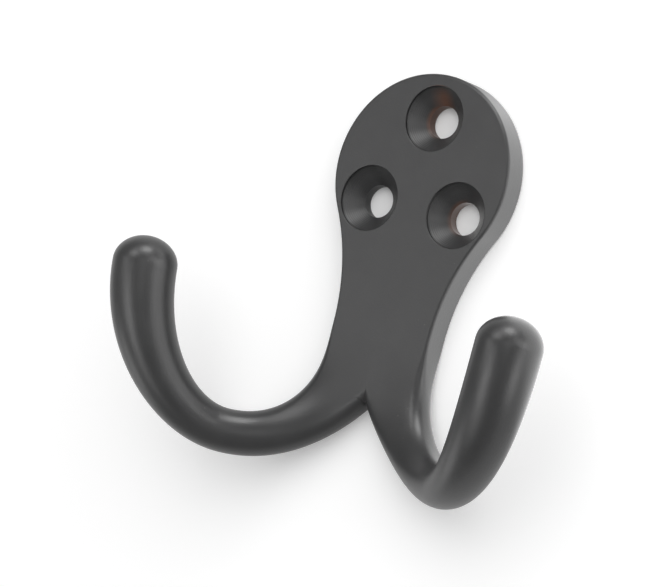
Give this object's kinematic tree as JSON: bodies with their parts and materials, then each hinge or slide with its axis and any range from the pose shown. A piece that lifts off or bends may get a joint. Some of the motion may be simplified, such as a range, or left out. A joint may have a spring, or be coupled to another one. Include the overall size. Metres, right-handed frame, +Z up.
{
  "type": "double robe hook",
  "caption": "Cast double wall hook: a pear-shaped backplate with countersunk screw holes runs into round arms that curve down, out and up to domed tips, for hanging robes or towels.",
  "frame": {"origin": "centre of the screw holes' circle, on the back of the plate", "axes": "+Z up the wall, +X to the right seen from the front, -Y out of the wall towards the user; the wall is the plane Y = 0"},
  "size_m": [0.0682, 0.0238, 0.0569],
  "materials": {
    "black_coat": "satin"
  },
  "bodies": {
    "root": {"double_hook": "black_coat"}
  },
  "joints": []
}
